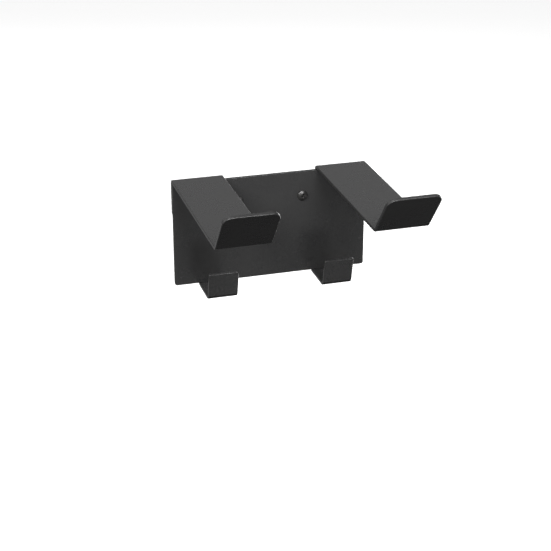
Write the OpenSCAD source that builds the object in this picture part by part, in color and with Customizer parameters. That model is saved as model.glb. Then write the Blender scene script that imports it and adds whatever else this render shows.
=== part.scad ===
// Wall holder for a hair dryer: a back plate, two cradle arms and two hooks, all of steel sheet.
// Each arm and hook is one folded strip whose flange lies behind the plate and is plug welded to it.
// Origin: on the wall, midway between the two wall screws. +X is right, +Y goes into the wall, +Z is up.

/* [Sheet] */
// Thickness of every steel sheet
sheet_t = 2.5; // [2:0.1:3]
// Inside radius of the bend between a shelf and its lip
lip_bend_r = 2.5; // [1:0.1:4]
// Inside radius of the bend that wraps an edge of the plate
root_bend_r = 0.6; // [0.4:0.1:0.7]

/* [Back plate] */
// Width of the plate, and over both arms
plate_w = 156; // [150:1:180]
// Height of the plate
plate_h = 85; // [80:1:110]
// Radius of the plate's corners
plate_corner_r = 2; // [1:0.5:4]

/* [Cradle arms] */
// Width of each arm
arm_w = 40.5; // [36:0.5:42]
// Reach from the front of the plate to the corner of the bend
arm_reach = 133; // [100:0.5:150]
// Length of the lip, on its outer face
arm_lip = 41.5; // [25:0.5:50]
// Lean of the lip, in degrees from upright
arm_lean = 38; // [10:1:50]
// Radius of the lip's two free corners
arm_corner_r = 7.5; // [2:0.5:10]
// Height of the flange behind the plate
arm_flange = 26; // [18:1:30]

/* [Hooks] */
// Width of each hook
hook_w = 23.5; // [20:0.5:26]
// Distance from the middle of the plate to the middle of a hook
hook_x = 46.5; // [46:0.5:54]
// Reach from the front of the plate to the corner of the bend
hook_reach = 28; // [20:0.5:40]
// Length of the lip, on its outer face
hook_lip = 23.5; // [15:0.5:30]
// Lean of the lip, in degrees from upright
hook_lean = 12; // [0:1:25]
// Radius of the lip's two free corners
hook_corner_r = 1; // [0.5:0.5:4]
// Height of the flange behind the plate
hook_flange = 18; // [14:1:18]

/* [Plug welds] */
// Radius of each weld
weld_r = 3; // [2:0.5:3]
// Distance between the welds of one flange
weld_pitch = 12; // [9:0.5:12]

/* [Wall pads] */
// Width of the middle pad
middle_pad_w = 66; // [60:1:66]
// Height of the middle pad
middle_pad_h = 76; // [60:1:76]
// Width of each side pad
side_pad_w = 36; // [20:1:36]
// Height of each side pad
side_pad_h = 32; // [20:1:32]
// Radius of the pads' corners
pad_corner_r = 3; // [1:0.5:6]
// Radius of the middle pad's holes for the screws
pad_hole_r = 4.5; // [4:0.5:6]

/* [Wall screws] */
// Distance between the two screws
screw_pitch = 52; // [40:1:52]
// Distance from the plate's top edge down to the screws
screw_drop = 20; // [14:1:24]
// Outer radius of the thread
screw_r = 2; // [1.75:0.05:2]
// Length from the wall's surface to the point
screw_reach = 30; // [20:1:40]
// Radius of the smooth neck under the head
neck_r = 1.45; // [1.2:0.05:1.6]
// Radius of the head
head_r = 4; // [3.5:0.1:4.5]
// Height of the head
head_h = 2.6; // [2:0.1:3]
// Radius of the plate's holes for the screws
screw_hole_r = 2.25; // [2.2:0.05:2.5]

/* [Hidden] */
$fn = 64;

LEFT = -1;
RIGHT = 1;
SIDES = [LEFT, RIGHT];

plate_top = screw_drop;
plate_bottom = plate_top - plate_h;
plate_front = 2 * sheet_t;
arm_x = (plate_w - arm_w) / 2;
arm_weld_z = plate_top - arm_flange / 2;
hook_weld_z = plate_bottom + hook_flange / 2;
side_pad_x = (plate_w - side_pad_w) / 2 - 2;
side_pad_z = (plate_top - arm_flange + plate_bottom + hook_flange) / 2;
middle_pad_z = (plate_top + plate_bottom) / 2;
edge_round_r = root_bend_r;
// An arc is this much larger than the one that only touches the faces it joins, so that it meets them
meet = 0.0002;
rim_h = 1;
tip_h = 4;
recess_w = 1.1;
recess_l = 4.4;
recess_d = 1.8;

coat = [0.09, 0.09, 0.09];
weld_coat = [0.16, 0.16, 0.17];
foam = [0.22, 0.22, 0.24];
black_oxide = [0.3, 0.3, 0.31];

// A folded strip follows a path of corners, seen from its side. The sheet lies on the left of the path.
function side_of(path, i) = let (d = path[i + 1] - path[i]) [-d[1], d[0]] / norm(d);
function sides_at(path, i) = [side_of(path, max(i - 1, 0)), side_of(path, min(i, len(path) - 2))];
function mitre(path, i) = let (n = sides_at(path, i)) (n[0] + n[1]) / (1 + n[0] * n[1]);
function turns_left(path, i) = cross(side_of(path, i - 1), side_of(path, i)) > 0;
function bend_centre(path, i, r) = path[i] + mitre(path, i) * (turns_left(path, i) ? r + sheet_t : -r);

// A face of the strip: square on the outside of a bend, and by way of the bend's centre on its inside
function face(path, radii, off) = [
    for (i = [0:len(path) - 1])
        let (
            bends = i > 0 && i < len(path) - 1,
            left = bends && turns_left(path, i),
            r = bends ? radii[i - 1] : 0,
            centre = bends ? bend_centre(path, i, r) : path[i],
            away = left ? -r : r,
            n = sides_at(path, i)
        )
            each bends && left == (off > 0)
                ? [centre + away * n[0], centre, centre + away * n[1]]
                : [path[i] + off * mitre(path, i)]
];

// What a bend takes off the square corner on its outside, seen from its centre
module corner_waste(path, i, r) {
    away = (turns_left(path, i) ? -2 : 2) * r;
    n = sides_at(path, i);
    difference() {
        polygon([for (p = [[0, 0], n[0], mitre(path, i), n[1]]) away * p]);
        circle(r);
    }
}

// Side view of a folded strip, with a bend at every inner corner of the path
module folded(path, radii) {
    back = face(path, radii, sheet_t);
    difference() {
        polygon(concat(face(path, radii, 0), [for (i = [len(back) - 1:-1:0]) back[i]]));
        for (i = [1:len(path) - 2])
            translate(bend_centre(path, i, radii[i - 1])) {
                circle(radii[i - 1] + meet);
                corner_waste(path, i, radii[i - 1] + sheet_t + meet);
            }
    }
}

// Stands a side view up, drawn with x to the front and y up, and gives it a width along X
module side_extrude(width) {
    rotate([90, 0, -90])
        linear_extrude(height = width, center = true)
            children();
}

// Rectangle with round corners, centred
module round_rect(width, height, r) {
    square([width - 2 * r, height], center = true);
    square([width, height - 2 * r], center = true);
    for (x = SIDES, y = SIDES)
        translate([x * (width / 2 - r), y * (height / 2 - r)])
            circle(r);
}

// Flat sheet on the wall's side, drawn as seen from the front, from distance near to far off the wall
module wall_layer(near, far) {
    translate([0, -near, 0])
        rotate([90, 0, 0])
            linear_extrude(height = far - near)
                children();
}

// Takes the square corners off a lip whose outer face starts at the origin and rises along +Z
module corner_cutters(width, length, r) {
    for (side = SIDES)
        translate([side * (width / 2 - r), 0, length - r])
            rotate([90, 0, 0])
                linear_extrude(height = 4 * sheet_t, center = true)
                    difference() {
                        translate([side > 0 ? 0 : -2 * r, 0])
                            square(2 * r);
                        circle(r + meet);
                    }
}

// Places of the plug welds of one flange, as seen from the front
module weld_discs(count) {
    for (i = [0:count - 1])
        translate([(i - (count - 1) / 2) * weld_pitch, 0])
            circle(weld_r);
}

module back_plate() {
    color(coat)
        difference() {
            intersection() {
                wall_layer(sheet_t, plate_front)
                    translate([0, middle_pad_z])
                        round_rect(plate_w, plate_h, plate_corner_r);
                side_extrude(plate_w)
                    translate([1.5 * sheet_t, middle_pad_z])
                        round_rect(sheet_t, plate_h, edge_round_r);
            }
            wall_layer(0, 2 * plate_front)
                for (side = SIDES)
                    translate([side * screw_pitch / 2, 0])
                        circle(screw_hole_r);
        }
}

module cradle_arm(side) {
    shelf = sheet_t + arm_reach;
    path = [[-shelf, -arm_flange], [-shelf, 0], [0, 0], arm_lip * [sin(arm_lean), cos(arm_lean)]];
    color(coat)
        translate([side * arm_x, 0, 0])
            difference() {
                side_extrude(arm_w)
                    translate([plate_front + arm_reach, plate_top])
                        folded(path, [root_bend_r, lip_bend_r]);
                translate([0, -plate_front - arm_reach, plate_top])
                    rotate([arm_lean, 0, 0])
                        corner_cutters(arm_w, arm_lip, arm_corner_r);
                wall_layer(-sheet_t, 2 * sheet_t)
                    translate([0, arm_weld_z])
                        weld_discs(3);
            }
}

module hook(side) {
    shelf = plate_front + hook_reach;
    path = [
        [-shelf, hook_flange + sheet_t],
        [-shelf, 0],
        [0, 0],
        hook_lip * [sin(hook_lean), cos(hook_lean)]
    ];
    color(coat)
        translate([side * hook_x, 0, 0])
            difference() {
                side_extrude(hook_w)
                    translate([plate_front + hook_reach, plate_bottom - sheet_t])
                        folded(path, [root_bend_r, lip_bend_r]);
                translate([0, -plate_front - hook_reach, plate_bottom - sheet_t])
                    rotate([hook_lean, 0, 0])
                        corner_cutters(hook_w, hook_lip, hook_corner_r);
                wall_layer(-sheet_t, 2 * sheet_t)
                    translate([0, hook_weld_z])
                        weld_discs(2);
            }
}

module arm_welds(side) {
    color(weld_coat)
        wall_layer(0, sheet_t)
            translate([side * arm_x, arm_weld_z])
                weld_discs(3);
}

module hook_welds(side) {
    color(weld_coat)
        wall_layer(0, sheet_t)
            translate([side * hook_x, hook_weld_z])
                weld_discs(2);
}

module side_wall_pad(side) {
    color(foam)
        wall_layer(0, sheet_t)
            translate([side * side_pad_x, side_pad_z])
                round_rect(side_pad_w, side_pad_h, pad_corner_r);
}

module middle_wall_pad() {
    color(foam)
        wall_layer(0, sheet_t)
            difference() {
                translate([0, middle_pad_z])
                    round_rect(middle_pad_w, middle_pad_h, pad_corner_r);
                for (side = SIDES)
                    translate([side * screw_pitch / 2, 0])
                        circle(pad_hole_r);
            }
}

// Half section of a screw's head, on the plate's front face
module head_section() {
    dome_h = head_h - rim_h;
    dome_r = (head_r * head_r + dome_h * dome_h) / (2 * dome_h);
    square([head_r, rim_h]);
    intersection() {
        translate([0, head_h - dome_r])
            circle(dome_r);
        square([head_r, head_h]);
    }
}

module wall_screw(side) {
    color(black_oxide)
        translate([side * screw_pitch / 2, 0, 0])
            rotate([90, 0, 0]) {
                difference() {
                    translate([0, 0, plate_front])
                        rotate_extrude()
                            head_section();
                    for (turn = [0, 90])
                        rotate(turn)
                            translate([-recess_l / 2, -recess_w / 2, plate_front + head_h - recess_d])
                                cube([recess_l, recess_w, recess_d + 1]);
                }
                cylinder(r = neck_r, h = plate_front);
                translate([0, 0, tip_h - screw_reach])
                    cylinder(r = screw_r, h = screw_reach - tip_h);
                translate([0, 0, -screw_reach])
                    cylinder(r1 = 0.2, r2 = screw_r, h = tip_h);
            }
}

back_plate();
cradle_arm(LEFT);  // left_cradle_arm
cradle_arm(RIGHT);  // right_cradle_arm
hook(LEFT);  // left_hook
hook(RIGHT);  // right_hook
arm_welds(LEFT);  // left_arm_welds
arm_welds(RIGHT);  // right_arm_welds
hook_welds(LEFT);  // left_hook_welds
hook_welds(RIGHT);  // right_hook_welds
side_wall_pad(LEFT);  // left_wall_pad
middle_wall_pad();
side_wall_pad(RIGHT);  // right_wall_pad
wall_screw(LEFT);  // left_wall_screw
wall_screw(RIGHT);  // right_wall_screw
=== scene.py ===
"""Wall holder for a hair dryer: the finished look of each piece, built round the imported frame.

Sheet pieces are drawn flat, as a laser would cut them, and then folded along their middle line.
Lengths are in metres. +X is right, +Y goes into the wall and +Z is up.
"""

import math
from math import cos, pi, radians, sin, tan

import bmesh
import bpy
from mathutils import Matrix, Vector, noise


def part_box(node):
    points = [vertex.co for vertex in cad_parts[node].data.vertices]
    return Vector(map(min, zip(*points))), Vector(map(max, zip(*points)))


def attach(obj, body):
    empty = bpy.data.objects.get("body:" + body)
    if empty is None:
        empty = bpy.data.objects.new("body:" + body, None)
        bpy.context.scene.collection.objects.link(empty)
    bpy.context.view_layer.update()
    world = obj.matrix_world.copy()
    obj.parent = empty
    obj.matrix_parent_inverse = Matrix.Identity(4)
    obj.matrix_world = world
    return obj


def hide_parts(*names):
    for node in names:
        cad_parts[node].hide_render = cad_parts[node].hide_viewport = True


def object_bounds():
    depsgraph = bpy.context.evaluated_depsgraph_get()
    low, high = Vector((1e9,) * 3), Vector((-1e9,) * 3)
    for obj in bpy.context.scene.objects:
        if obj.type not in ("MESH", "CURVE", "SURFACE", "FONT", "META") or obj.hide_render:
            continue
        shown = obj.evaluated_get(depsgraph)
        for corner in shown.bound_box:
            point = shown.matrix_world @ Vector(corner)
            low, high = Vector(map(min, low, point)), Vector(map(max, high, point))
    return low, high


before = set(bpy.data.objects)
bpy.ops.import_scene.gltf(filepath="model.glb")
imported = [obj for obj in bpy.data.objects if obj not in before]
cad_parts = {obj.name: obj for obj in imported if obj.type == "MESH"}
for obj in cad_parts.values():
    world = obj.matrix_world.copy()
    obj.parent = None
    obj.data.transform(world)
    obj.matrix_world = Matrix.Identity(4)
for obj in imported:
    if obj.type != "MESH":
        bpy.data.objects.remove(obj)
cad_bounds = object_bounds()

MM = 0.001
SIDES = ("left", "right")

# Sheet metal
SHEET_EDGE_R = 0.5 * MM
ROOT_BEND_R = 0.6 * MM
LIP_BEND_R = 2.5 * MM
BEND_STEP = radians(5)
SQUEEZE = 0.1 * MM
BLANK_CORNER_R = 0.8 * MM
PLATE_CORNER_R = 2.0 * MM
SCREW_HOLE_R = 2.25 * MM
ARM_LEAN = radians(38)
ARM_CORNER_R = 7.5 * MM
HOOK_LEAN = radians(12)
HOOK_CORNER_R = 1.2 * MM
ARM_WELDS = 3
HOOK_WELDS = 2

# Plug welds: the crown's terms are in millimetres
WELD_RINGS = 16
WELD_SECTORS = 48
WELD_CROWN = 0.3
WELD_RIPPLE = 0.07
WELD_RIPPLE_RATE = 16
WELD_LUMP = 0.1
WELD_LUMP_SCALE = 2.2
WELD_SEED_STEP = 7.3
WELD_SINK = 0.4
WELD_LEAST_SINK = 0.02 * MM
WELD_FOOT_GAP = 0.1 * MM
WELD_SHARP_ANGLE = radians(50)

# Foam pads
PAD_CORNER_R = 3.0 * MM
PAD_HOLE_R = 4.5 * MM
PAD_EDGE_R = 0.4 * MM
PAD_GRID = 3.0 * MM
PAD_DENT = 0.12 * MM
PAD_DENT_SCALE = 90
PAD_RIM_WIDTH = 2 * MM

# Wall screws
SCREW_SECTORS = 48
SCREW_SHARP_ANGLE = radians(40)
CROWN_SHARE = 0.6
CROWN_STEPS = 12
THREAD_PITCH = 1.8 * MM
THREAD_ROWS = 16
THREAD_FLANK = 0.24
THREAD_CREST = 0.9
NECK_PAST_WALL = 0.3 * MM
THREAD_R = 2.0 * MM
CORE_R = 1.3 * MM
NECK_R = 1.45 * MM
NECK_FILLET = 0.25 * MM
SHOULDER_R = 0.25 * MM
POINT_LENGTH = 5.0 * MM
POINT_BLUNT = 0.05
POINT_SHAPE = 0.8
RECESS_SPAN = 4.4 * MM
RECESS_WING = 1.1 * MM
RECESS_DEPTH = 1.8 * MM
RECESS_ROOT = 1.3
RECESS_RIM_ANGLE = radians(28)
RECESS_RIM_BEVEL = 0.05 * MM


# ---------------------------------------------------------------- outlines


def arc(centre, r, start, turn, steps):
    """Points and outward normals along an arc, from start through turn, both in degrees."""
    found = []
    for k in range(steps + 1):
        a = radians(start + turn * k / steps)
        normal = Vector((cos(a), sin(a)))
        found.append((Vector(centre) + r * normal, normal))
    return found


def rounded_rectangle(low, high, radii, steps=10):
    """Outline of a rectangle, anticlockwise from its low corner, with a radius for each corner."""
    signs = ((-1, -1), (1, -1), (1, 1), (-1, 1))
    outline = []
    for k, (sign, r) in enumerate(zip(signs, radii)):
        corner = [high[i] if sign[i] > 0 else low[i] for i in range(2)]
        centre = [corner[i] - sign[i] * r for i in range(2)]
        outline += arc(centre, r, 180 + 90 * k, 90, steps)
    return outline


def hole(centre, r, steps=40):
    """Outline of a round hole. Its normals point out of the sheet, towards the hole's centre."""
    return [(point, -normal) for point, normal in arc(centre, r, 0, 360, steps)[:-1]]


def edge_profile(thickness, r, steps=5):
    """Inset, height and tilt of each ring from a sheet's lower face round its edge to its upper face."""
    wall = thickness / 2 - r
    rings = []
    for side in (-1, 1):
        for k in range(steps + 1):
            tilt = pi / 2 * (k / steps - (side < 0))
            rings.append((r * (1 - cos(tilt)), side * wall + r * sin(tilt), tilt))
    return rings


# ---------------------------------------------------------------- folding


class Fold:
    """Middle line of a sheet in the (y, z) plane: straight runs, with an arc at each inner corner."""

    def __init__(self, corners, radii):
        points = [Vector(c) for c in corners]
        headings = [math.atan2(b.y - a.y, b.x - a.x) for a, b in zip(points, points[1:])]
        turns = [
            (b - a + pi) % (2 * pi) - pi for a, b in zip(headings, headings[1:])
        ]
        tangents = [0] + [r * tan(abs(turn) / 2) for r, turn in zip(radii, turns)] + [0]
        self.parts = []
        self.length = 0
        at = points[0]
        for i, heading in enumerate(headings):
            run = (points[i + 1] - points[i]).length - tangents[i] - tangents[i + 1]
            at = self._add(at, heading, 0, run)
            if i < len(turns):
                at = self._add(at, heading, math.copysign(1 / radii[i], turns[i]), radii[i] * abs(turns[i]))

    def _add(self, at, heading, curvature, length):
        self.parts.append((self.length, at, heading, curvature, length))
        self.length += length
        return self._along(self.parts[-1], self.length)[0]

    @staticmethod
    def _along(part, s):
        start, at, heading, curvature, _ = part
        t = s - start
        now = heading + curvature * t
        if curvature:
            step = Vector((sin(now) - sin(heading), cos(heading) - cos(now))) / curvature
        else:
            step = t * Vector((cos(heading), sin(heading)))
        return at + step, now

    def part_at(self, s):
        return next((p for p in self.parts if s <= p[0] + p[4]), self.parts[-1])

    def at(self, s):
        """Point and heading at a distance along the line."""
        return self._along(self.part_at(s), s)

    def squeeze(self, s, height):
        """How far a bend pushes a sheet's edge out: the metal swells on its inside and thins outside."""
        start, _, _, curvature, length = self.part_at(s)
        if not curvature:
            return 0
        return SQUEEZE * math.copysign(height / MM, curvature * height) * sin(pi * (s - start) / length)

    def cuts(self):
        """Where the flat sheet is divided so that it can bend."""
        found = []
        for start, _, _, curvature, length in self.parts:
            if curvature:
                count = math.ceil(length * abs(curvature) / BEND_STEP)
                found += [start + length * k / count for k in range(count + 1)]
        return found


def cut_flat(bm, positions, axis):
    normal = [float(i == axis) for i in range(3)]
    for position in positions:
        place = [position * n for n in normal]
        everything = bm.verts[:] + bm.edges[:] + bm.faces[:]
        bmesh.ops.bisect_plane(bm, geom=everything, dist=1e-8, plane_co=place, plane_no=normal)


def flat_sheet(loops, thickness, edge_r):
    """A flat sheet with round edges, and its exact normals kept in a layer. The first loop is its rim."""
    bm = bmesh.new()
    normals = bm.verts.layers.float_vector.new("flat_normal")
    caps = ([], [])
    for loop in loops:
        rings = []
        for inset, height, tilt in edge_profile(thickness, edge_r):
            ring = []
            for point, normal in loop:
                at = point - inset * normal
                vert = bm.verts.new((at.x, at.y, height))
                vert[normals] = (cos(tilt) * normal.x, cos(tilt) * normal.y, sin(tilt))
                ring.append(vert)
            rings.append(ring)
        for lower, upper in zip(rings, rings[1:]):
            for i in range(len(loop)):
                bm.faces.new((lower[i - 1], lower[i], upper[i], upper[i - 1]))
        for cap, ring in zip(caps, (rings[0], rings[-1])):
            cap += [bm.edges.get((ring[i - 1], ring[i])) for i in range(len(ring))]
    for cap in caps:
        bmesh.ops.triangle_fill(bm, use_beauty=True, use_dissolve=False, edges=cap)
    return bm, normals


def fold_sheet(bm, normals, fold, middle):
    """Bends a flat sheet, whose second axis runs along the fold. middle is its middle across the fold."""
    for vert in bm.verts:
        across, s, height = vert.co
        point, heading = fold.at(s)
        ahead = Vector((0, cos(heading), sin(heading)))
        up = Vector((0, -sin(heading), cos(heading)))
        across += math.copysign(1, across - middle) * fold.squeeze(s, height)
        vert.co = Vector((across, point.x, point.y)) + up * height
        n = vert[normals]
        vert[normals] = (Vector((n.x, 0, 0)) + ahead * n.y + up * n.z).normalized()


def finish_sheet(name, bm, normals):
    exact = [Vector(v[normals]) for v in bm.verts]
    bm.verts.layers.float_vector.remove(normals)
    piece = new_piece(name, bm)
    piece.data.normals_split_custom_set_from_vertices(exact)
    return piece


def new_piece(name, bm):
    """An object from one closed mesh or several, with every face turned outwards."""
    bmesh.ops.recalc_face_normals(bm, faces=bm.faces[:])
    if bm.calc_volume(signed=True) < 0:
        bmesh.ops.reverse_faces(bm, faces=bm.faces[:])
    mesh = bpy.data.meshes.new(name)
    bm.to_mesh(mesh)
    bm.free()
    mesh.shade_smooth()
    piece = bpy.data.objects.new(name, mesh)
    bpy.context.scene.collection.objects.link(piece)
    return piece


# ---------------------------------------------------------------- sheet metal pieces


def middle_of(node):
    low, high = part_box(node)
    return (low + high) / 2


def spread(node, count):
    """Middles of a node's discs, which lie in a row along X, and their radius."""
    low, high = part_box(node)
    r = (high.z - low.z) / 2
    pitch = (high.x - low.x - 2 * r) / (count - 1)
    return [(low.x + r + k * pitch, (low.z + high.z) / 2) for k in range(count)], r


def back_plate():
    low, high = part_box("back_plate")
    thickness = high.y - low.y
    fold = Fold([((low.y + high.y) / 2, low.z), ((low.y + high.y) / 2, high.z)], [])
    loops = [rounded_rectangle((low.x, 0), (high.x, high.z - low.z), [PLATE_CORNER_R] * 4)]
    for side in SIDES:
        screw = middle_of(f"{side}_wall_screw")
        loops.append(hole((screw.x, screw.z - low.z), SCREW_HOLE_R))
    bm, normals = flat_sheet(loops, thickness, SHEET_EDGE_R)
    fold_sheet(bm, normals, fold, 0)
    return finish_sheet("back_plate_coated", bm, normals)


def folded_strip(node, weld_node, welds, upper, lean, corner_r):
    """An arm or a hook: a flange behind the plate, a level shelf past the plate's edge, and a leaning lip."""
    low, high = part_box(node)
    plate_low, plate_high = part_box("back_plate")
    t = plate_high.y - plate_low.y
    edge = plate_high.z if upper else plate_low.z
    under = edge if upper else edge - t
    discs, weld_r = spread(weld_node, welds)
    flange_end = 2 * discs[0][1] - edge
    lip = (high.z - under - t * sin(lean)) / cos(lean)
    corner = Vector((low.y + lip * sin(lean), under))
    turn = pi / 2 - lean
    fold = Fold(
        [
            (high.y - t / 2, flange_end),
            (high.y - t / 2, under + t / 2),
            corner + t / 2 * Vector((tan(turn / 2), 1)),
            corner + lip * Vector((-sin(lean), cos(lean))) + t / 2 * Vector((cos(lean), sin(lean))),
        ],
        [ROOT_BEND_R + t / 2, LIP_BEND_R + t / 2],
    )
    radii = [BLANK_CORNER_R, BLANK_CORNER_R, corner_r, corner_r]
    loops = [rounded_rectangle((low.x, 0), (high.x, fold.length), radii)]
    loops += [hole((x, abs(z - flange_end)), weld_r) for x, z in discs]
    bm, normals = flat_sheet(loops, t, SHEET_EDGE_R)
    cut_flat(bm, fold.cuts(), axis=1)
    fold_sheet(bm, normals, fold, (low.x + high.x) / 2)
    return finish_sheet(f"{node}_coated", bm, normals)


def weld_beads(node, count, seed):
    """Plug welds: each fills its hole with a low crown that has the ripples of a circling torch."""
    low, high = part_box(node)
    discs, r = spread(node, count)
    bm = bmesh.new()
    for k, (x, z) in enumerate(discs):
        swirl = Vector((seed, k, 0)) * WELD_SEED_STEP
        grid = []
        for i in range(1, WELD_RINGS + 1):
            share = i / WELD_RINGS
            ring = []
            for j in range(WELD_SECTORS):
                a = 2 * pi * j / WELD_SECTORS
                place = Vector((share * cos(a), share * sin(a), 0))
                ripple = WELD_RIPPLE * sin(WELD_RIPPLE_RATE * share + a) * share
                crown = WELD_CROWN * (1 - share**2) + ripple
                lumps = WELD_LUMP * noise.noise(WELD_LUMP_SCALE * place + swirl)
                depth = (crown + lumps - WELD_SINK) * MM
                y = high.y + min(depth, -WELD_LEAST_SINK)
                ring.append(bm.verts.new((x + r * place.x, y, z + r * place.y)))
            grid.append(ring)
        grid.append([bm.verts.new((v.co.x, low.y + WELD_FOOT_GAP, v.co.z)) for v in grid[-1]])
        centre = bm.verts.new((x, grid[0][0].co.y, z))
        for j in range(WELD_SECTORS):
            bm.faces.new((centre, grid[0][j - 1], grid[0][j]))
            for inner, outer in zip(grid, grid[1:]):
                bm.faces.new((inner[j - 1], outer[j - 1], outer[j], inner[j]))
        bm.faces.new(grid[-1])
    piece = new_piece(f"{node}_beads", bm)
    piece.data.set_sharp_from_angle(angle=WELD_SHARP_ANGLE)
    return piece


# ---------------------------------------------------------------- foam pads


def foam_pad(node, holes=()):
    """Die-cut foam: its rim is drawn in a little, and its face has the shallow dents of soft sheet."""
    low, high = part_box(node)
    t = high.y - low.y
    loops = [rounded_rectangle((low.x, low.z), (high.x, high.z), [PAD_CORNER_R] * 4, steps=8)]
    loops += [hole(centre, PAD_HOLE_R, steps=32) for centre in holes]
    bm, normals = flat_sheet(loops, t, PAD_EDGE_R)
    bm.verts.layers.float_vector.remove(normals)
    for axis, (a, b) in enumerate(((low.x, high.x), (low.z, high.z))):
        count = round((b - a) / PAD_GRID)
        cut_flat(bm, [a + (b - a) * k / count for k in range(1, count)], axis)
    for vert in bm.verts:
        x, z, height = vert.co
        rim = min(x - low.x, high.x - x, z - low.z, high.z - z)
        dents = 0.5 * noise.noise(Vector((x, z, 0)) * PAD_DENT_SCALE)
        sink = math.exp(-rim / PAD_RIM_WIDTH) + 0.5 + dents
        height -= math.copysign(PAD_DENT * sink * (height > 0), height)
        vert.co = (x, (low.y + high.y) / 2 + height, z)
    return new_piece(f"{node}_foam", bm)


# ---------------------------------------------------------------- wall screws


def lathe(profile, sectors, swell=lambda z, a: 0):
    """Closed mesh turned about Z from a profile of (radius, z) that starts and ends on the axis.
    swell adds to the radius at a height and angle."""
    bm = bmesh.new()
    angles = [2 * pi * j / sectors for j in range(sectors)]
    rings = []
    for r, z in profile[1:-1]:
        reach = [r + swell(z, a) for a in angles]
        rings.append([bm.verts.new((q * cos(a), q * sin(a), z)) for q, a in zip(reach, angles)])
    first, last = (bm.verts.new((0, 0, profile[k][1])) for k in (0, -1))
    for j in range(sectors):
        bm.faces.new((first, rings[0][j], rings[0][j - 1]))
        bm.faces.new((last, rings[-1][j - 1], rings[-1][j]))
        for near, far in zip(rings, rings[1:]):
            bm.faces.new((near[j - 1], near[j], far[j], far[j - 1]))
    return bm


def screw_profile(head_r, head_h, neck_end, end):
    """From the middle of the crown, round the shoulder and under the head, down the neck to the point."""
    crown_h = CROWN_SHARE * head_h
    crown_r = (head_r**2 + crown_h**2) / (2 * crown_h)
    profile = [(0, -head_h)]
    for k in range(1, CROWN_STEPS + 1):
        r = head_r * sin(pi / 2 * k / CROWN_STEPS)
        profile.append((r, crown_r - head_h - math.sqrt(crown_r**2 - r * r)))
    shoulder = arc((head_r - SHOULDER_R, -SHOULDER_R), SHOULDER_R, 10, 80, 5)
    profile += [(p.x, p.y) for p, _ in shoulder]
    profile += [(NECK_R + NECK_FILLET, 0), (NECK_R, NECK_FILLET)]
    rows = round((end - neck_end) / THREAD_PITCH * THREAD_ROWS)
    for k in range(rows):
        z = neck_end + (end - neck_end) * k / rows
        r = NECK_R if z < neck_end + THREAD_PITCH / 2 else CORE_R
        profile.append((taper(z, end) * r, z))
    return profile + [(0, end)]


def taper(z, end):
    """How much of its full radius the screw has at z, near its point."""
    return max(POINT_BLUNT, min(1, (end - z) / POINT_LENGTH)) ** POINT_SHAPE


def thread(z, a, neck_end, end):
    """Height of the thread, a sharp ridge that climbs one pitch in each turn."""
    phase = (z / THREAD_PITCH - a / (2 * pi)) % 1
    ridge = max(0, 1 - abs(phase - 0.5) / THREAD_FLANK)
    run_in = min(1, max(0, (z - neck_end) / THREAD_PITCH))
    return run_in * taper(z, end) * (THREAD_R - CORE_R) * min(ridge, THREAD_CREST) / THREAD_CREST


def cross_cutter(head_h):
    """Tapered cross that cuts the recess, with round wing ends."""
    bm = bmesh.new()
    half, wing = RECESS_SPAN / 2, RECESS_WING / 2
    outline = []
    for k in range(4):
        turned = Matrix.Rotation(pi / 2 * k, 2)
        points = [Vector((wing * RECESS_ROOT, -wing * RECESS_ROOT))]
        points += [p for p, _ in arc((half - wing, 0), wing, -90, 180, 6)]
        outline += [turned @ p for p in points]
    rings = []
    levels = ((-0.6 * MM, 1.05), (0, 1.0), (0.6 * RECESS_DEPTH, 0.8), (RECESS_DEPTH, 0.42))
    for depth, scale in levels:
        rings.append([bm.verts.new((p.x * scale, p.y * scale, depth - head_h)) for p in outline])
    for upper, lower in zip(rings, rings[1:]):
        for i in range(len(outline)):
            bm.faces.new((upper[i - 1], lower[i - 1], lower[i], upper[i]))
    bm.faces.new(rings[0])
    bm.faces.new(rings[-1])
    return new_piece("cross_cutter", bm)


def wall_screw(side):
    node = f"{side}_wall_screw"
    low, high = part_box(node)
    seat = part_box("back_plate")[0].y
    head_r = (high.x - low.x) / 2
    head_h = seat - low.y
    neck_end, end = -seat + NECK_PAST_WALL, high.y - seat
    profile = screw_profile(head_r, head_h, neck_end, end)
    turned = lathe(profile, SCREW_SECTORS, lambda z, a: thread(z, a, neck_end, end))
    screw = new_piece(f"{node}_turned", turned)
    cutter = cross_cutter(head_h)
    cut = screw.modifiers.new("recess", "BOOLEAN")
    cut.object = cutter
    cut.operation = "DIFFERENCE"
    cut.solver = "EXACT"
    bm = bmesh.new()
    bm.from_object(screw, bpy.context.evaluated_depsgraph_get())
    for used in (screw, cutter):
        bpy.data.objects.remove(used)
    creases = [e for e in bm.edges if e.calc_face_angle(0) > RECESS_RIM_ANGLE]
    rim = [e for e in creases if e.verts[0].co.z < -0.3 * head_h]
    bmesh.ops.bevel(bm, geom=rim, offset=RECESS_RIM_BEVEL, segments=2, affect="EDGES", profile=0.5)
    centre = Vector(((low.x + high.x) / 2, seat, (low.z + high.z) / 2))
    bm.transform(Matrix.Translation(centre) @ Matrix.Rotation(-pi / 2, 4, "X"))
    piece = new_piece(f"{node}_threaded", bm)
    piece.data.set_sharp_from_angle(angle=SCREW_SHARP_ANGLE)
    return piece


# ---------------------------------------------------------------- materials


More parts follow.
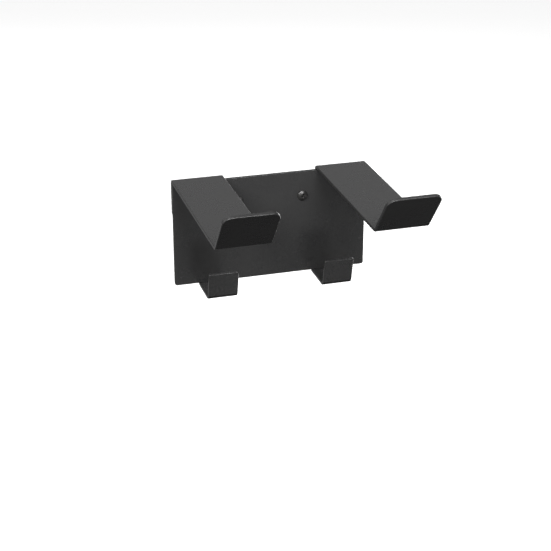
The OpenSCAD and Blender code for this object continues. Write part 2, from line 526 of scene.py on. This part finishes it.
class Nodes:
    """A material's node tree, built a node at a time."""

    def __init__(self, name):
        self.material = bpy.data.materials.new(name)
        self.material.use_nodes = True
        self.tree = self.material.node_tree
        self.shader = self.tree.nodes["Principled BSDF"]
        self.place = self.add("ShaderNodeTexCoord").outputs["Object"]

    def add(self, kind, **values):
        node = self.tree.nodes.new(kind)
        for name, value in values.items():
            setattr(node, name, value)
        return node

    def link(self, source, target):
        self.tree.links.new(source, target)

    def noise(self, scale, detail, roughness=0.5):
        node = self.add("ShaderNodeTexNoise")
        self.link(self.place, node.inputs["Vector"])
        node.inputs["Scale"].default_value = scale
        node.inputs["Detail"].default_value = detail
        node.inputs["Roughness"].default_value = roughness
        return node.outputs["Fac"]

    def cells(self, scale):
        node = self.add("ShaderNodeTexVoronoi")
        self.link(self.place, node.inputs["Vector"])
        node.inputs["Scale"].default_value = scale
        return node.outputs["Distance"]

    def remap(self, source, low, high, to_low, to_high):
        node = self.add("ShaderNodeMapRange", clamp=True)
        self.link(source, node.inputs["Value"])
        names = ("From Min", "From Max", "To Min", "To Max")
        for name, value in zip(names, (low, high, to_low, to_high)):
            node.inputs[name].default_value = value
        return node.outputs["Result"]

    def blend(self, factor, a, b):
        """Colour from a to b as factor goes from 0 to 1."""
        node = self.add("ShaderNodeMix", data_type="RGBA")
        self.link(factor, node.inputs["Factor"])
        node.inputs["A"].default_value = (*a, 1)
        node.inputs["B"].default_value = (*b, 1)
        return node.outputs["Result"]

    def maths(self, operation, a, b):
        node = self.add("ShaderNodeMath", operation=operation)
        for value, socket in zip((a, b), node.inputs):
            if isinstance(value, (int, float)):
                socket.default_value = value
            else:
                self.link(value, socket)
        return node.outputs["Value"]

    def bump(self, height, distance, strength=1.0, below=None):
        node = self.add("ShaderNodeBump")
        self.link(height, node.inputs["Height"])
        node.inputs["Distance"].default_value = distance
        node.inputs["Strength"].default_value = strength
        if below is not None:
            self.link(below, node.inputs["Normal"])
        return node.outputs["Normal"]


COAT_TONES = ((0.0205, 0.0205, 0.021), (0.0255, 0.0253, 0.025))
COAT_DUST = (0.042, 0.041, 0.04)
COAT_DUST_SHARE = 0.25
COAT_ROUGHNESS = (0.25, 0.31)
COAT_PEEL = 0.008 * MM
COAT_GRAIN = 0.0018 * MM
FOAM_TONES = ((0.03, 0.03, 0.032), (0.05, 0.05, 0.052))
# Painted shade: the darker colour put in the hollow middle of each cut foam cell
FOAM_PIT_SHADE = (0.012, 0.012, 0.013)
OXIDE_TONES = ((0.02, 0.02, 0.021), (0.06, 0.058, 0.056))
OXIDE_ROUGHNESS = (0.26, 0.46)


def powder_coat(name, peel=1.0, lumps=0.0):
    """Satin black powder coat: fine orange peel, faint cloudy gloss, and dust that greys it very little."""
    n = Nodes(name)
    cloud = n.noise(35, detail=4)
    grain = n.noise(2600, detail=2)
    dust = n.remap(n.noise(160, detail=6, roughness=0.7), 0.58, 0.78, 0, 1)
    tone = n.blend(cloud, *COAT_TONES)
    shade = n.add("ShaderNodeMix", data_type="RGBA")
    n.link(n.maths("MULTIPLY", dust, COAT_DUST_SHARE), shade.inputs["Factor"])
    n.link(tone, shade.inputs["A"])
    shade.inputs["B"].default_value = (*COAT_DUST, 1)
    n.link(shade.outputs["Result"], n.shader.inputs["Base Color"])
    gloss = n.remap(cloud, 0.3, 0.7, *COAT_ROUGHNESS)
    gloss = n.maths("ADD", gloss, n.maths("MULTIPLY", dust, 0.1))
    gloss = n.maths("ADD", gloss, n.remap(grain, 0.3, 0.7, -0.018, 0.018))
    n.link(gloss, n.shader.inputs["Roughness"])
    normal = n.bump(n.noise(700, detail=1), COAT_PEEL * peel)
    normal = n.bump(grain, COAT_GRAIN * peel, below=normal)
    if lumps:
        normal = n.bump(n.noise(1300, detail=3), lumps, below=normal)
    n.link(normal, n.shader.inputs["Normal"])
    n.shader.inputs["IOR"].default_value = 1.5
    return n.material


def closed_cell_foam(name):
    """Matt dark foam with cut cells of under a millimetre, the hollow of each cell darkened with painted
    shade.
    """
    n = Nodes(name)
    cells = n.cells(1400)
    wall_rise_and_pit_shade = n.remap(cells, 0.15, 0.6, 0, 1)
    cloud = n.noise(60, detail=4)
    tone = n.blend(cloud, *FOAM_TONES)
    # Painted shade: the mask that sinks each cell's middle with the bump also paints it darker, as if shade
    # fell in the hollow
    shade = n.add("ShaderNodeMix", data_type="RGBA")
    n.link(wall_rise_and_pit_shade, shade.inputs["Factor"])
    shade.inputs["A"].default_value = (*FOAM_PIT_SHADE, 1)
    n.link(tone, shade.inputs["B"])
    n.link(shade.outputs["Result"], n.shader.inputs["Base Color"])
    n.link(n.remap(cloud, 0.3, 0.7, 0.85, 0.97), n.shader.inputs["Roughness"])
    n.link(n.bump(wall_rise_and_pit_shade, 0.08 * MM, 0.6), n.shader.inputs["Normal"])
    n.shader.inputs["Specular IOR Level"].default_value = 0.25
    return n.material


def black_oxide(name):
    """Blackened steel: dark, half metallic and oily in patches."""
    n = Nodes(name)
    cloud = n.noise(400, detail=5)
    tone = n.blend(cloud, *OXIDE_TONES)
    n.link(tone, n.shader.inputs["Base Color"])
    n.link(n.remap(cloud, 0.3, 0.7, *OXIDE_ROUGHNESS), n.shader.inputs["Roughness"])
    n.link(n.bump(n.noise(3000, detail=2), 0.004 * MM), n.shader.inputs["Normal"])
    n.shader.inputs["Metallic"].default_value = 0.6
    return n.material


# ---------------------------------------------------------------- stage, light and camera

PHOTO_AZIMUTH = radians(16.3)
PHOTO_ELEVATION = radians(24.3)
PHOTO_TARGET = Vector((4.3, -4.0, -66.9)) * MM
PHOTO_DISTANCE = 1.158
PHOTO_LENS = 94.56
FLOOR_DROP = 0.55
STAGE_R = 9.0
STAGE_H = 7.0
STAGE_SWEEP = 2.0
STAGE_GLOW = 0.6
WORLD_STOPS = ((0.0, 0.02), (0.3, 0.3), (0.5, 0.04), (0.72, 0.06), (1.0, 0.1))


def towards(azimuth, elevation):
    """Direction from the object to something at that azimuth, counted to the left, and elevation."""
    return Vector((-sin(azimuth) * cos(elevation), -cos(azimuth) * cos(elevation), sin(elevation)))


def add_camera():
    data = bpy.data.cameras.new("camera")
    data.sensor_width = 36
    data.lens = PHOTO_LENS
    camera = bpy.data.objects.new("camera", data)
    back = towards(PHOTO_AZIMUTH, PHOTO_ELEVATION)
    camera.location = PHOTO_TARGET + PHOTO_DISTANCE * back
    camera.rotation_euler = back.to_track_quat("Z", "Y").to_euler()
    bpy.context.scene.collection.objects.link(camera)
    bpy.context.scene.camera = camera


def add_softbox(name, azimuth, elevation, distance, size, power):
    """A round soft light that faces the origin. The camera doesn't see it."""
    data = bpy.data.lights.new(name, "AREA")
    data.shape = "DISK"
    data.size = size
    data.energy = power
    light = bpy.data.objects.new(name, data)
    back = towards(radians(azimuth), radians(elevation))
    light.location = back * distance
    light.rotation_euler = back.to_track_quat("Z", "Y").to_euler()
    light.visible_camera = False
    bpy.context.scene.collection.objects.link(light)


def add_stage():
    """A pale floor that sweeps up all round. Only the camera sees it, so it lights nothing."""
    floor = min(cad_bounds[0].z, 0) - FLOOR_DROP
    bend = (STAGE_R - STAGE_SWEEP, floor + STAGE_SWEEP)
    profile = [(0, floor), (STAGE_R - STAGE_SWEEP, floor)]
    profile += [(p.x, p.y) for p, _ in arc(bend, STAGE_SWEEP, -90, 90, 12)]
    profile += [(STAGE_R, STAGE_H), (0, STAGE_H)]
    stage = new_piece("stage_sweep", lathe(profile, 96))
    n = Nodes("stage_paper")
    tone = n.blend(n.noise(0.6, detail=2), (0.93, 0.93, 0.93), (0.96, 0.96, 0.96))
    n.link(tone, n.shader.inputs["Base Color"])
    n.link(tone, n.shader.inputs["Emission Color"])
    n.shader.inputs["Emission Strength"].default_value = STAGE_GLOW
    n.shader.inputs["Roughness"].default_value = 0.9
    n.shader.inputs["Specular IOR Level"].default_value = 0.0
    stage.data.materials.append(n.material)
    stage.visible_diffuse = False
    stage.visible_glossy = False
    stage.visible_shadow = False


def add_world():
    """Faint light from all round, with a brighter band a little below the horizon."""
    world = bpy.data.worlds.new("studio")
    world.use_nodes = True
    bpy.context.scene.world = world
    tree = world.node_tree
    place = tree.nodes.new("ShaderNodeTexCoord")
    parts = tree.nodes.new("ShaderNodeSeparateXYZ")
    ramp = tree.nodes.new("ShaderNodeValToRGB")
    spread_out = tree.nodes.new("ShaderNodeMapRange")
    spread_out.inputs["From Min"].default_value = -1
    tree.links.new(place.outputs["Generated"], parts.inputs["Vector"])
    tree.links.new(parts.outputs["Z"], spread_out.inputs["Value"])
    tree.links.new(spread_out.outputs["Result"], ramp.inputs["Fac"])
    tree.links.new(ramp.outputs["Color"], tree.nodes["Background"].inputs["Color"])
    ramp.color_ramp.elements[0].position = WORLD_STOPS[0][0]
    ramp.color_ramp.elements[1].position = WORLD_STOPS[-1][0]
    for position, _ in WORLD_STOPS[1:-1]:
        ramp.color_ramp.elements.new(position)
    for element, (_, level) in zip(ramp.color_ramp.elements, WORLD_STOPS):
        element.color = (level, level, level, 1)
    tree.nodes["Background"].inputs["Strength"].default_value = 1.0


# ---------------------------------------------------------------- assembly


def put(piece, node, material):
    piece.data.materials.append(material)
    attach(piece, "root")
    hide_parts(node)


coat = powder_coat("black_powder_coat")
weld_coat = powder_coat("coated_weld", peel=1.5, lumps=0.03 * MM)
foam = closed_cell_foam("dark_foam")
oxide = black_oxide("black_oxide_steel")

put(back_plate(), "back_plate", coat)
for k, side in enumerate(SIDES):
    arm, arm_welds = f"{side}_cradle_arm", f"{side}_arm_welds"
    hook, hook_welds = f"{side}_hook", f"{side}_hook_welds"
    put(folded_strip(arm, arm_welds, ARM_WELDS, True, ARM_LEAN, ARM_CORNER_R), arm, coat)
    put(folded_strip(hook, hook_welds, HOOK_WELDS, False, HOOK_LEAN, HOOK_CORNER_R), hook, coat)
    put(weld_beads(arm_welds, ARM_WELDS, 2 * k), arm_welds, weld_coat)
    put(weld_beads(hook_welds, HOOK_WELDS, 2 * k + 1), hook_welds, weld_coat)
    screw = f"{side}_wall_screw"
    put(wall_screw(side), screw, oxide)

screw_centres = [(middle_of(f"{side}_wall_screw").x, middle_of(f"{side}_wall_screw").z) for side in SIDES]
for node, holes in (("left_wall_pad", ()), ("middle_wall_pad", screw_centres), ("right_wall_pad", ())):
    pad = foam_pad(node, holes)
    put(pad, node, foam)

add_stage()
add_world()
add_softbox("front_light", 0, 38, 2.2, 1.0, 51)
add_softbox("left_light", 50, 38, 2.2, 1.0, 61)
add_softbox("side_light", 90, 5, 2.4, 2.4, 15)
add_softbox("right_light", -40, 38, 2.2, 1.0, 16)
add_softbox("back_light", 196, 24, 2.5, 2.5, 4.5)
add_softbox("rear_light", 222, -14, 2.4, 2.0, 42)
add_softbox("low_light", -26, -48, 0.8, 0.4, 0.09)
add_camera()
bpy.context.scene.view_settings.view_transform = "Standard"
